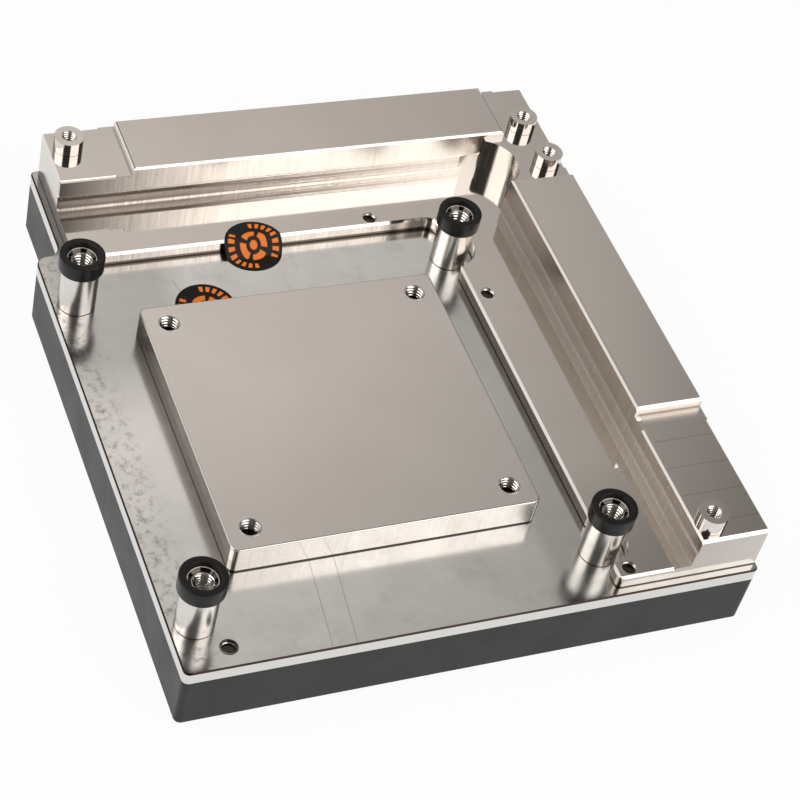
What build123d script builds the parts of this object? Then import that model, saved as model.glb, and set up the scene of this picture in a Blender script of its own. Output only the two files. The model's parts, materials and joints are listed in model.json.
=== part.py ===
from build123d import *
import os

# Motherboard water block: one block that cools the processor and the power stages beside it.
# It lies on its cover, with the side that faces the motherboard up.
# X runs along the near edge, Y away from it and Z up. The origin is the middle of the underside.
# Plan positions are taken from the middle of the processor's hole pattern, in millimetres.

# Processor's hole pattern, which everything else is placed from
cpu_pitch = 75.0
cpu_reach = cpu_pitch / 2

# Outline that the cover and the base plate share, as margins beyond the hole pattern
margin_left = 4.6
margin_right = 28.4
margin_near = 10.0
margin_far = 36.1
outline_corner_radius = 1.2
jog_depth = 4.95
jog_from_shelf = 4.2
jog_radius = 2.4

# Heights of the two plates
cover_height = 11.5
cover_edge_chamfer = 0.5
plate_thickness = 2.65
plate_edge_chamfer = 0.25
board_gap = 12.6

# Processor cold plate
pad_width = 57.6
pad_height = 5.75
pad_corner_radius = 1.3
pad_edge_radius = 0.3
pad_hole_inset = 4.55
fin_field_x = 30.0
fin_field_y = 27.0
fin_thickness = 0.6
fin_gap = 0.65

# Power stage block
block_setback = 0.2
block_near_setback = 1.5
block_left_setback = 1.35
block_far_corner_radius = 1.2
block_near_corner_radius = 0.5
block_end_bevel = 0.4
far_shelf_width = 13.3
shelf_height = 2.8
shelf_corner_radius = 2.5
shelf_chamfer = 0.45
far_ridge_width = 14.0
right_ridge_width = 13.7
ridge_low = 9.8
ridge_low_near = 9.3
ridge_high = 11.3
ridge_chamfer = 0.38
step_chamfer = 0.52
chamfer_runout = 3.2
ledge_height = 6.0
ledge_out = 0.3
corner_pocket_radius = 7.0
corner_pocket_inset = 2.7
corner_pocket_wall = 1.2
relief_radius = 5.0
relief_corner_radius = 1.2
far_low_left = 14.3
far_low_right = 9.65
right_low_far = 27.5
right_low_near = 30.0

# Standoffs around the processor, and the washers on them
standoff_diameter = 7.0
spigot_diameter = 5.4
spigot_setback = 1.0
spigot_mouth = 0.55
spigot_gap = 0.15
washer_diameter = 8.4
washer_height = 3.2
standoff_thread_depth = 8.0
standoff_stud_diameter = 3.0
standoff_stud_setback = 0.3

# Standoffs on the power stage block
small_standoff_diameter = 5.6
small_stud_diameter = 2.5
small_stud_length = 3.4
small_thread_floor = 0.6
stud_tip_gap = 0.5

# Threads, at their nominal size
m4_diameter = 4.0
m3_diameter = 3.0
port_diameter = 13.16
port_thread_depth = 6.0
port_bore_diameter = 7.0
thread_gap = 0.04

# Screws from the cover's outer face
m4_head_diameter = 7.0
m4_head_height = 4.0
m4_socket = 3.0
m3_head_diameter = 5.5
m3_head_height = 3.0
m3_socket = 2.5
socket_depth = 1.8
head_recess = 0.4
head_gap = 0.3
shank_gap = 0.25
pad_screw_setback = 2.6
tip_setback = 0.8
blind_screw_depth = 5.0

# Coolant ways
channel_width = 6.0
channel_depth = 4.0
channel_end_radius = 1.5
far_channel_inset = 12.2
right_channel_inset = 13.0
block_rib_thickness = 1.0
block_rib_count = 2
block_channel_height = 5.0
link_x = -11.5
link_width = 7.0
outlet_place = (50.0, -28.0)
inlet_place = (0.0, 0.0)
fin_margin = 2.0
window_corner_radius = 2.0
jet_plate_overlap = 0.5
jet_plate_land = 1.0
moat_side = 3.0
moat_end = 6.5
plenum_wall_side = 2.5
plenum_wall_end = 6.0
jet_plate_thickness = 1.0
jet_plate_gap = 0.1
jet_slot_width = 1.2
jet_return_width = 4.5
jet_rim = 2.05

# Gaskets
gasket_land = 1.2
gasket_width = 1.6
gasket_depth = 1.1
gasket_side_gap = 0.1

# Round stickers
sticker_diameter = 11.6
sticker_thickness = 0.12
sticker_gap = 0.02
draped_sticker_x = -0.6
drape_on_shelf = 4.4
drape_on_plate = 6.0
drape_foot_run = 2.6
curled_sticker_x = -13.9
curled_sticker_out = 3.7

# Levels, counted from the cover's outer face
plate_bottom = cover_height
plate_top = plate_bottom + plate_thickness
pad_top = plate_top + pad_height
board_level = plate_top + board_gap

# Edges of the shared outline and of the power stage block
outline_left = cpu_reach + margin_left
outline_right = cpu_reach + margin_right
outline_near = cpu_reach + margin_near
outline_far = cpu_reach + margin_far
block_left = outline_left - jog_depth - block_left_setback
block_right = outline_right - block_setback
block_near = outline_near - block_near_setback
block_far = outline_far - block_setback
ridge_wall_far = block_far - far_ridge_width
ridge_wall_right = block_right - right_ridge_width
shelf_edge_far = ridge_wall_far - far_shelf_width
shelf_edge_right = cpu_reach
jog_y = shelf_edge_far + jog_from_shelf
far_pad_left = far_low_left - block_left
far_pad_right = block_right - far_low_right
right_pad_far = block_far - right_low_far
right_pad_near = right_low_near - block_near
middle_x = (outline_right - outline_left) / 2
middle_y = (outline_far - outline_near) / 2

# Round pocket in the corner between the ridge's two inner walls
pocket_x = ridge_wall_right - corner_pocket_inset
pocket_y = ridge_wall_far - corner_pocket_radius

# Coolant ways, from the block's ridges and from the fins
far_channel_y = (ridge_wall_far + block_far) / 2
right_channel_x = (ridge_wall_right + block_right) / 2
far_channel_left = far_channel_inset - block_left
right_channel_near = right_channel_inset - block_near
window_width = fin_field_x + 2 * fin_margin
jet_plate_width = window_width + 2 * jet_plate_overlap
moat_width = jet_plate_width - 2 * jet_plate_land
island_x = moat_width - 2 * moat_side
island_y = moat_width - 2 * moat_end
plenum_x = island_x - 2 * plenum_wall_side
plenum_y = island_y - 2 * plenum_wall_end

# Places of the standoffs, screws and stickers
cpu_corners = {
    "far_left": (-cpu_reach, cpu_reach),
    "far_right": (cpu_reach, cpu_reach),
    "near_right": (cpu_reach, -cpu_reach),
    "near_left": (-cpu_reach, -cpu_reach),
}
small_standoff_places = {
    "far_left": (4.1 - block_left, block_far - 4.6, plate_top + ridge_low),
    "far_right": (block_right - 4.5, block_far - 11.2, plate_top + ridge_low),
    "corner": (block_right - 3.4, block_far - 22.2, plate_top + ridge_low),
    "near_right": (block_right - 10.7, 3.8 - block_near, plate_top + ridge_low_near),
}
pad_hole_reach = pad_width / 2 - pad_hole_inset
pad_corners = [
    (-pad_hole_reach, -pad_hole_reach),
    (-pad_hole_reach, pad_hole_reach),
    (pad_hole_reach, -pad_hole_reach),
    (pad_hole_reach, pad_hole_reach),
]
shelf_screw_places = [
    (24.2, shelf_edge_far + 2.0),
    (shelf_edge_right + 2.8, 24.4),
    (shelf_edge_right + 2.7, 2.1 - block_near),
]
ridge_screw_places = [
    (4.8 - block_left, block_far - 10.8),
    (block_right - 5.1, 5.5 - block_near),
]
plate_screw_place = (8.8 - outline_left, 4.0 - outline_near)
draped_sticker_far = shelf_edge_far + drape_on_shelf
draped_sticker_near = shelf_edge_far - drape_on_plate
curled_sticker_place = (curled_sticker_x, pad_width / 2 + curled_sticker_out)

# Lengths for the modelling alone: how far cuts run past a face, and how near counts as the same
cut_over = 1.0
same_place = 0.01


def rod(x, y, low, high, diameter):
    """An upright cylinder between two levels."""
    return Pos(x, y, low) * Cylinder(
        diameter / 2, high - low, align=(Align.CENTER, Align.CENTER, Align.MIN)
    )


def block(x_low, x_high, y_low, y_high, low, high):
    """A box between two corners."""
    size = (x_high - x_low, y_high - y_low, high - low)
    return Pos(x_low, y_low, low) * Box(*size, align=(Align.MIN, Align.MIN, Align.MIN))


def plan(x_low, x_high, y_low, y_high, radius=0.0, grow=0.0):
    """A rectangle in plan, with rounded corners, made larger all round where asked."""
    place = Pos((x_low + x_high) / 2, (y_low + y_high) / 2)
    width = x_high - x_low + 2 * grow
    depth = y_high - y_low + 2 * grow
    if radius + grow > 0:
        return place * RectangleRounded(width, depth, radius + grow)
    return place * Rectangle(width, depth)


def merged(pieces, grow=0.0):
    """One outline from several rectangles, made larger all round where asked."""
    outline = plan(*pieces[0], grow=grow)
    for piece in pieces[1:]:
        outline += plan(*piece, grow=grow)
    return outline


def prism(outline, low, high):
    """An outline in plan raised between two levels."""
    return extrude(Pos(0, 0, low) * outline, amount=high - low)


def ring(pieces, inner, outer, low, high):
    """A band that follows the merged outline of some rectangles, at two distances outside it."""
    return prism(merged(pieces, outer) - merged(pieces, inner), low, high)


def edge_bevel(start, end, size):
    """The bar that bevels the straight edge between two points, running along X or Y."""
    centre = (Vector(*start) + Vector(*end)) / 2
    length = (Vector(*end) - Vector(*start)).length
    side = size * 2**0.5
    if abs(end[0] - start[0]) > abs(end[1] - start[1]):
        bar = Rot(45, 0, 0) * Box(length, side, side)
    else:
        bar = Rot(0, 45, 0) * Box(side, length, side)
    return Pos(*centre) * bar


def at_level(items, level):
    """Those of some edges or faces that lie at one level."""
    return items.filter_by_position(Axis.Z, level - same_place, level + same_place)


def outer_edges(solid, level):
    """The edges around the flat face at one level, before it has holes."""
    return at_level(solid.faces(), level)[0].outer_wire().edges()


def shared_outline():
    """The plan of the cover and the base plate: a rectangle with a rounded jog at its far left."""
    far_left = jog_depth - outline_left
    corners = [
        (-outline_left, -outline_near),
        (outline_right, -outline_near),
        (outline_right, outline_far),
        (far_left, outline_far),
        (far_left, jog_y),
        (-outline_left, jog_y),
    ]
    face = make_face(Polyline(*corners, close=True))
    jog = [v for v in face.vertices() if abs(v.Y - jog_y) < same_place]
    face = fillet(jog, jog_radius)
    outer = [
        v for v in face.vertices()
        if min(abs(v.Y + outline_near), abs(v.Y - outline_far)) < same_place
    ]
    return fillet(outer, outline_corner_radius)


def block_channel():
    """The L-shaped coolant way under the two ridges, as its two arms."""
    half = channel_width / 2
    far_side = far_channel_y + half
    right_side = right_channel_x + half
    return [
        (far_channel_left, right_side, far_channel_y - half, far_side, channel_end_radius),
        (right_channel_x - half, right_side, right_channel_near, far_side, channel_end_radius),
    ]


def square(width, radius):
    """A rounded square around the middle of the processor."""
    half = width / 2
    return (-half, half, -half, half, radius)


def fin_window():
    """The opening in the base plate below the processor's fins."""
    return [square(window_width, window_corner_radius)]


def jet_seat():
    """The recess in the cover for the jet plate."""
    return [square(jet_plate_width + 2 * jet_plate_gap, window_corner_radius)]


def cover_links():
    """The ways in the cover from the processor to the far ridge, and on to the outlet port."""
    x, y = outlet_place
    half_link = link_width / 2
    half = channel_width / 2
    start = moat_width / 2 - half_link
    return [
        (link_x - half_link, link_x + half_link, start, far_channel_y, 0.0),
        (x - half, right_channel_x, y - half, y + half, 0.0),
    ]


def sealed_network():
    """All the ways that the cover's gasket goes around."""
    return block_channel() + cover_links() + jet_seat()


def screw(x, y, tip, diameter, head_diameter, head_height, socket):
    """A socket head screw that points up, with its head sunk in the cover."""
    head = rod(x, y, head_recess, head_recess + head_height, head_diameter)
    shank = rod(x, y, head_recess + head_height, tip, diameter - 2 * thread_gap)
    hexagon = Pos(x, y) * RegularPolygon(socket / 2, 6, major_radius=False)
    return head + shank - prism(hexagon, head_recess, head_recess + socket_depth)


def screw_way(x, y, top, diameter, head_diameter, head_height):
    """What a screw needs cut through the cover and the base plate."""
    sink = rod(x, y, -cut_over, head_recess + head_height, head_diameter + head_gap)
    return sink + rod(x, y, 0, top, diameter + shank_gap)


def m3_ways(top):
    """The ways of the screws that hold the power stage block and the base plate."""
    places = shelf_screw_places + [plate_screw_place] + ridge_screw_places
    return [
        screw_way(x, y, top, m3_diameter, m3_head_diameter, m3_head_height)
        for x, y in places
    ]


def m4_ways(top):
    """The ways of the screws that hold the cold plate."""
    return [
        screw_way(x, y, top, m4_diameter, m4_head_diameter, m4_head_height)
        for x, y in pad_corners
    ]


def make_top_cover():
    """The plastic cover, with the coolant ways milled in its inner face and the ports outside."""
    cover = prism(shared_outline(), 0, cover_height)
    cover = chamfer(outer_edges(cover, 0), cover_edge_chamfer)
    seat_level = cover_height - jet_plate_thickness
    floor_level = cover_height - channel_depth
    island = plan(-island_x / 2, island_x / 2, -island_y / 2, island_y / 2, channel_end_radius)
    plenum = plan(-plenum_x / 2, plenum_x / 2, -plenum_y / 2, plenum_y / 2, channel_end_radius)
    ways = merged(block_channel() + cover_links() + [square(moat_width, window_corner_radius)])
    cover -= prism(ways - island + plenum, floor_level, cover_height + cut_over)
    cover -= prism(merged(jet_seat()), seat_level, cover_height + cut_over)
    groove_low = cover_height - gasket_depth
    groove_outer = gasket_land + gasket_width
    cover -= ring(
        sealed_network(), gasket_land, groove_outer, groove_low, cover_height + cut_over
    )
    for x, y in (inlet_place, outlet_place):
        cover -= rod(x, y, -cut_over, port_thread_depth, port_diameter)
        cover -= rod(x, y, 0, floor_level, port_bore_diameter)
    cover -= m3_ways(cover_height + cut_over)
    cover -= m4_ways(cover_height + cut_over)
    return cover


def make_base_plate():
    """The steel plate that carries everything, with windows for the coolant."""
    plate = prism(shared_outline(), plate_bottom, plate_top)
    plate = chamfer(outer_edges(plate, plate_top), plate_edge_chamfer)
    through = (plate_bottom - cut_over, plate_top + cut_over)
    plate -= prism(merged(fin_window()), *through)
    plate -= prism(merged(block_channel()), *through)
    plate -= m3_ways(plate_top + cut_over)
    plate -= m4_ways(plate_top + cut_over)
    for x, y in cpu_corners.values():
        plate -= rod(x, y, *through, standoff_stud_diameter)
    return plate


def make_cold_plate():
    """The raised pad with four tapped holes on top and fins underneath."""
    pad = prism(plan(*square(pad_width, pad_corner_radius)), plate_top, pad_top)
    pad = fillet(outer_edges(pad, pad_top), pad_edge_radius)
    for x, y in pad_corners:
        pad -= rod(x, y, plate_top - cut_over, pad_top + cut_over, m4_diameter)
    groove_high = plate_top + gasket_depth
    pad -= ring(
        fin_window(), gasket_land, gasket_land + gasket_width, plate_top - cut_over, groove_high
    )
    pitch = fin_thickness + fin_gap
    count = int((fin_field_x - fin_thickness) // pitch) + 1
    first = -(count - 1) * pitch / 2
    half_y = fin_field_y / 2
    fins = [
        block(
            first + i * pitch - fin_thickness / 2, first + i * pitch + fin_thickness / 2,
            -half_y, half_y, plate_bottom, plate_top,
        )
        for i in range(count)
    ]
    return pad + fins


def relief_discs():
    """Plan of the round spaces that the block leaves around two standoffs."""
    places = (cpu_corners["far_right"], cpu_corners["near_right"])
    return [Pos(x, y) * Circle(relief_radius) for x, y in places]


def plain_shelf_plan():
    """The L-shaped footprint of the power stage block, before its reliefs."""
    corners = [
        (-block_left, shelf_edge_far),
        (shelf_edge_right, shelf_edge_far),
        (shelf_edge_right, -block_near),
        (block_right, -block_near),
        (block_right, block_far),
        (-block_left, block_far),
    ]
    face = make_face(Polyline(*corners, close=True))
    inner = [
        v for v in face.vertices()
        if abs(v.X - shelf_edge_right) + abs(v.Y - shelf_edge_far) < same_place
    ]
    face = fillet(inner, shelf_corner_radius)
    far = [v for v in face.vertices() if v.Y > block_far - same_place]
    face = fillet(far, block_far_corner_radius)
    near = [
        v for v in face.vertices()
        if abs(v.X - block_right) + abs(v.Y + block_near) < same_place
    ]
    return fillet(near, block_near_corner_radius)


def shelf_plan():
    """The footprint with its reliefs around two standoffs, and the tips beside them rounded."""
    face = plain_shelf_plan() - relief_discs()
    straight_from = shelf_edge_far - shelf_corner_radius - same_place
    tips = [
        v for v in face.vertices()
        if abs(v.X - shelf_edge_right) < same_place and v.Y < straight_from
    ]
    return fillet(tips, relief_corner_radius)


def ridge_plan(inset):
    """The L-shaped ridge, with its inner walls moved in by the ledge where one is asked for."""
    wall_y = ridge_wall_far - inset
    wall_x = ridge_wall_right - inset
    inner = plan(-block_left - cut_over, wall_x, -block_near - cut_over, wall_y)
    pocket = Pos(pocket_x, pocket_y) * Circle(corner_pocket_radius)
    face = shelf_plan() - inner - pocket
    left_end = [
        v for v in face.vertices()
        if abs(v.X + block_left) + abs(v.Y - wall_y) < same_place
    ]
    return chamfer(left_end, block_end_bevel)


def top_bevels(x_low, x_high, y_low, y_high, level, along_x, along_y):
    """Bevels of a rectangle's top edges, at one size for each direction that they run in."""
    return [
        edge_bevel((x_low, y_low, level), (x_high, y_low, level), along_x),
        edge_bevel((x_low, y_high, level), (x_high, y_high, level), along_x),
        edge_bevel((x_low, y_low, level), (x_low, y_high, level), along_y),
        edge_bevel((x_high, y_low, level), (x_high, y_high, level), along_y),
    ]


def raised_pads():
    """The two high stretches of the ridge, which press on the power stages."""
    low = plate_top + ridge_low
    high = plate_top + ridge_high
    far = (far_pad_left, far_pad_right, ridge_wall_far, block_far)
    right = (ridge_wall_right, block_right, right_pad_near, right_pad_far)
    return [
        block(*far, low, high) - top_bevels(*far, high, ridge_chamfer, step_chamfer),
        block(*right, low, high) - top_bevels(*right, high, step_chamfer, ridge_chamfer),
    ]


def near_stretch():
    """What the ridge's near end is milled down by, below the other low stretches."""
    return block(
        ridge_wall_right - cut_over, block_right + cut_over,
        -block_near - cut_over, right_pad_near,
        plate_top + ridge_low_near, plate_top + ridge_low + cut_over,
    )


def low_edge_bevels():
    """Bevels of the low stretches, which stop short of the steps as the cutter did."""
    top = plate_top + ridge_low
    near_top = plate_top + ridge_low_near
    shelf = plate_top + shelf_height
    left_end = far_pad_left - chamfer_runout
    near_start = right_pad_near - chamfer_runout
    corner_x = far_pad_right + chamfer_runout
    corner_y = right_pad_far + chamfer_runout
    wall_x = ridge_wall_right
    return [
        edge_bevel((-block_left, ridge_wall_far, top), (left_end, ridge_wall_far, top), ridge_chamfer),
        edge_bevel((-block_left, block_far, top), (left_end, block_far, top), ridge_chamfer),
        edge_bevel((-block_left, ridge_wall_far, top), (-block_left, block_far, top), ridge_chamfer),
        edge_bevel((corner_x, block_far, top), (block_right, block_far, top), ridge_chamfer),
        edge_bevel((block_right, corner_y, top), (block_right, block_far, top), ridge_chamfer),
        edge_bevel(
            (block_right, -block_near, near_top), (block_right, near_start, near_top), ridge_chamfer
        ),
        edge_bevel((wall_x, -block_near, near_top), (wall_x, near_start, near_top), ridge_chamfer),
        edge_bevel(
            (wall_x, -block_near, near_top), (block_right, -block_near, near_top), step_chamfer
        ),
        edge_bevel(
            (shelf_edge_right, -block_near, shelf),
            (wall_x - ledge_out - chamfer_runout, -block_near, shelf),
            shelf_chamfer,
        ),
    ]


def make_power_block():
    """The L-shaped nickel block: a thin shelf towards the processor and a tall ridge outside it."""
    shelf_top = plate_top + shelf_height
    body = prism(plain_shelf_plan(), plate_top, shelf_top)
    inner_edges = [e for e in at_level(body.edges(), shelf_top) if faces_processor(e.center())]
    body = chamfer(inner_edges, shelf_chamfer)
    body &= prism(shelf_plan(), plate_top, shelf_top)
    body += prism(ridge_plan(0), plate_top, plate_top + ridge_low) - near_stretch()
    body += prism(ridge_plan(ledge_out), plate_top, plate_top + ledge_height)
    body += raised_pads()
    body -= low_edge_bevels()
    body -= prism(merged(block_channel()), plate_top - cut_over, plate_top + block_channel_height)
    body += pocket_wall()
    body += channel_ribs()
    body -= ring(
        block_channel(), gasket_land, gasket_land + gasket_width,
        plate_top - cut_over, plate_top + gasket_depth,
    )
    for x, y in shelf_screw_places:
        body -= rod(x, y, plate_top - cut_over, shelf_top + cut_over, m3_diameter)
    for x, y in ridge_screw_places:
        body -= rod(x, y, plate_top - cut_over, plate_top + blind_screw_depth + tip_setback, m3_diameter)
    for x, y, seat in small_standoff_places.values():
        stud_hole_bottom = seat - small_stud_length - stud_tip_gap
        body -= rod(x, y, stud_hole_bottom, seat + cut_over, small_stud_diameter)
    return body


def faces_processor(point):
    """Whether an edge belongs to the shelf's two sides that face the processor."""
    in_far = -block_left < point.X < shelf_edge_right + same_place
    in_right = -block_near + same_place < point.Y < shelf_edge_far + same_place
    return in_far and in_right


def pocket_wall():
    """The wall and floor that part the corner pocket from the coolant way beside it."""
    low = plate_top + shelf_height - corner_pocket_wall
    high = plate_top + block_channel_height
    outer = rod(pocket_x, pocket_y, low, high, 2 * (corner_pocket_radius + corner_pocket_wall))
    outer &= prism(merged(block_channel()), low, high)
    return outer - rod(pocket_x, pocket_y, plate_top + shelf_height, high, 2 * corner_pocket_radius)


def channel_ribs():
    """Ribs that stand lengthways in the block's coolant way, along each ridge."""
    low = plate_top
    high = plate_top + block_channel_height
    pitch = channel_width / (block_rib_count + 1)
    half = block_rib_thickness / 2
    far_start = far_channel_left + channel_width
    far_end = right_channel_x - channel_width
    right_start = right_channel_near + channel_width
    right_end = far_channel_y - channel_width
    ribs = []
    for i in range(block_rib_count):
        aside = (i + 1) * pitch - channel_width / 2
        y = far_channel_y + aside
        x = right_channel_x + aside
        ribs.append(block(far_start, far_end, y - half, y + half, low, high))
        ribs.append(block(x - half, x + half, right_start, right_end, low, high))
    return ribs


def make_jet_plate():
    """The thin plate that sends the coolant into the middle of the fins."""
    outline = plan(*square(jet_plate_width, window_corner_radius))
    outline -= plan(-plenum_x / 2, plenum_x / 2, -jet_slot_width / 2, jet_slot_width / 2)
    outer = jet_plate_width / 2 - jet_rim
    inner = outer - jet_return_width
    outline -= plan(-outer, outer, inner, outer)
    outline -= plan(-outer, outer, -outer, -inner)
    return prism(outline, cover_height - jet_plate_thickness, cover_height)


def make_gasket(pieces, low):
    """A moulded gasket that fills its groove but for a gap at each side."""
    inner = gasket_land + gasket_side_gap
    outer = gasket_land + gasket_width - gasket_side_gap
    return ring(pieces, inner, outer, low, low + gasket_depth)


def make_standoff(x, y):
    """A turned standoff: stud in the base plate, body, and a spigot for the washer."""
    shoulder = board_level - washer_height
    spigot_top = board_level - spigot_setback
    turned = rod(x, y, plate_top, shoulder, standoff_diameter)
    turned += rod(x, y, shoulder, spigot_top, spigot_diameter)
    stud_diameter = standoff_stud_diameter - 2 * thread_gap
    turned += rod(x, y, plate_bottom + standoff_stud_setback, plate_top, stud_diameter)
    turned -= rod(x, y, spigot_top - standoff_thread_depth, spigot_top + cut_over, m4_diameter)
    bore_radius = m4_diameter / 2
    mouth = Cone(bore_radius, bore_radius + spigot_mouth, spigot_mouth)
    return turned - Pos(x, y, spigot_top - spigot_mouth / 2) * mouth


def make_washer(x, y):
    """The black insulating washer on top of a standoff."""
    low = board_level - washer_height
    bore = spigot_diameter + 2 * spigot_gap
    washer = rod(x, y, low, board_level, washer_diameter)
    return washer - rod(x, y, low - cut_over, board_level + cut_over, bore)


def make_small_standoff(x, y, seat):
    """A short standoff with a stud in the ridge and a tapped hole on top."""
    turned = rod(x, y, seat, board_level, small_standoff_diameter)
    stud_diameter = small_stud_diameter - 2 * thread_gap
    turned += rod(x, y, seat - small_stud_length, seat, stud_diameter)
    return turned - rod(x, y, seat + small_thread_floor, board_level + cut_over, m3_diameter)


def make_draped_sticker():
    """The sticker that bridges the step from the shelf down to the base plate."""
    low = plate_top + sticker_gap
    high = plate_top + shelf_height + sticker_gap
    lip = shelf_edge_far + shelf_chamfer
    foot = shelf_edge_far - drape_foot_run
    under = [(draped_sticker_far, high), (lip, high), (foot, low), (draped_sticker_near, low)]
    over = [(y, z + sticker_thickness) for y, z in reversed(under)]
    band = Plane.YZ * make_face(Polyline(*under, *over, close=True))
    half = sticker_diameter / 2
    band = Pos(draped_sticker_x - half, 0, 0) * extrude(band, amount=sticker_diameter)
    middle = (draped_sticker_far + draped_sticker_near) / 2
    reach = (draped_sticker_far - draped_sticker_near) / 2
    round_plan = Pos(draped_sticker_x, middle) * Ellipse(half, reach)
    return band & prism(round_plan, plate_top, high + cut_over)


def make_curled_sticker():
    """The sticker that lies on the base plate and curls up the cold plate's far side."""
    x, y = curled_sticker_place
    wall = pad_width / 2 + sticker_gap
    low = plate_top + sticker_gap
    disc = Circle(sticker_diameter / 2)
    reach = sticker_diameter
    lying = Pos(x, y) * disc & plan(x - reach, x + reach, wall, wall + reach)
    tail = disc & Pos(0, wall - y - reach / 2) * Rectangle(2 * reach, reach)
    flat = extrude(Pos(0, 0, low) * lying, amount=sticker_thickness)
    upright = extrude(tail, amount=sticker_thickness)
    upright = Pos(x, wall, low) * Rot(-90, 0, 0) * Pos(0, y - wall, 0) * upright
    return flat + upright


def make_screws(places, tip, sizes):
    """The screws of one size that end at one level."""
    return [screw(x, y, tip, *sizes) for x, y in places]


def save(name, shape):
    """Write one piece, moved so that the origin is the middle of the underside."""
    moved = Pos(-middle_x, -middle_y, 0) * shape
    moved.label = name
    export_step(moved, f"parts/{name}.step")


os.makedirs("parts", exist_ok=True)
save("top_cover", make_top_cover())
save("base_plate", make_base_plate())
save("cpu_cold_plate", make_cold_plate())
save("power_stage_block", make_power_block())
save("jet_plate", make_jet_plate())
save("cover_gasket", make_gasket(sealed_network(), plate_bottom - gasket_depth))
save("cold_plate_gasket", make_gasket(fin_window(), plate_top))
save("power_block_gasket", make_gasket(block_channel(), plate_top))
for corner, (corner_x, corner_y) in cpu_corners.items():
    save(f"cpu_standoff_{corner}", make_standoff(corner_x, corner_y))
    save(f"insulating_washer_{corner}", make_washer(corner_x, corner_y))
for corner, (corner_x, corner_y, seat_level) in small_standoff_places.items():
    save(f"power_standoff_{corner}", make_small_standoff(corner_x, corner_y, seat_level))
m4_sizes = (m4_diameter, m4_head_diameter, m4_head_height, m4_socket)
m3_sizes = (m3_diameter, m3_head_diameter, m3_head_height, m3_socket)
cold_plate_screws = make_screws(pad_corners, pad_top - pad_screw_setback, m4_sizes)
save("cold_plate_screws", Compound(cold_plate_screws))
block_screws = make_screws(shelf_screw_places, plate_top + shelf_height - tip_setback, m3_sizes)
block_screws += make_screws(ridge_screw_places, plate_top + blind_screw_depth, m3_sizes)
save("power_block_screws", Compound(block_screws))
plate_screw = make_screws([plate_screw_place], plate_top - tip_setback, m3_sizes)
save("base_plate_screw", plate_screw[0])
save("round_sticker_draped", make_draped_sticker())
save("round_sticker_curled", make_curled_sticker())
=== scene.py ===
import json
import math

import bpy
from mathutils import Matrix, Vector


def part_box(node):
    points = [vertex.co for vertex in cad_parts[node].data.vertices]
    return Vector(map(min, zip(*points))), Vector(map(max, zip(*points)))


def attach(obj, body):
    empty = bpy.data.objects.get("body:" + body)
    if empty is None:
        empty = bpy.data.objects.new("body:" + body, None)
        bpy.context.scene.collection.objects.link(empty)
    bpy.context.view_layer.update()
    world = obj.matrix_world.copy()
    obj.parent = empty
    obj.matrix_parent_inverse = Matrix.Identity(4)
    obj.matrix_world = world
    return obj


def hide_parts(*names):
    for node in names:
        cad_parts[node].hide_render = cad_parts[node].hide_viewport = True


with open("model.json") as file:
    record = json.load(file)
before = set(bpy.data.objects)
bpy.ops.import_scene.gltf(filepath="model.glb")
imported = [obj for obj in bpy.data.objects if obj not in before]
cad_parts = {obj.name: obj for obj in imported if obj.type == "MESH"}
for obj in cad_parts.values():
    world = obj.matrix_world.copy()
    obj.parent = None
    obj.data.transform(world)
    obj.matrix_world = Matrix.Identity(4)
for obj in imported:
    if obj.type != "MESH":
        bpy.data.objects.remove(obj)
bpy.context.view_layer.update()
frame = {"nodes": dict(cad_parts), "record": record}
MM = 0.001


def box_mm(node):
    """A CAD node's lowest and highest corner, in millimetres."""
    low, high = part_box(node)
    return low / MM, high / MM


# Levels and faces that the finishes and the added pieces are placed from, in millimetres
plate_top = box_mm("base_plate")[1].z
pad_low, pad_high = box_mm("cpu_cold_plate")
block_low, block_high = box_mm("power_stage_block")
standoff_top = box_mm("cpu_standoff_far_left")[1].z
shelf_top = plate_top + 2.8
ledge_top = plate_top + 6.0
ridge_low = plate_top + 9.8
ridge_low_near = plate_top + 9.3
ridge_high = block_high.z
far_wall = block_high.y - 14.0
right_wall = block_high.x - 13.7
left_step = block_low.x + 14.3
near_step = block_low.y + 30.0
NEARWARDS = (0, -1, 0)
LEFTWARDS = (-1, 0, 0)


# Camera, at the photograph's angle
def place_camera(azimuth, elevation, roll, place, lens):
    azimuth, elevation, roll = (math.radians(angle) for angle in (azimuth, elevation, roll))
    back = Vector((
        math.sin(azimuth) * math.cos(elevation),
        -math.cos(azimuth) * math.cos(elevation),
        math.sin(elevation),
    ))
    level = Vector((math.cos(azimuth), math.sin(azimuth), 0))
    upright = back.cross(level)
    right = math.cos(roll) * level + math.sin(roll) * upright
    up = -math.sin(roll) * level + math.cos(roll) * upright
    camera = bpy.data.objects.new("camera", bpy.data.cameras.new("camera"))
    bpy.context.scene.collection.objects.link(camera)
    camera.matrix_world = Matrix.Translation(place) @ Matrix((right, up, back)).transposed().to_4x4()
    camera.data.sensor_width = 36
    camera.data.lens = lens
    camera.data.clip_start = 0.01
    camera.data.clip_end = 20
    bpy.context.scene.camera = camera


place_camera(
    azimuth=-31.906, elevation=45.855, roll=15.859, place=(-0.154867, -0.262902, 0.321532), lens=104.71
)


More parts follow.
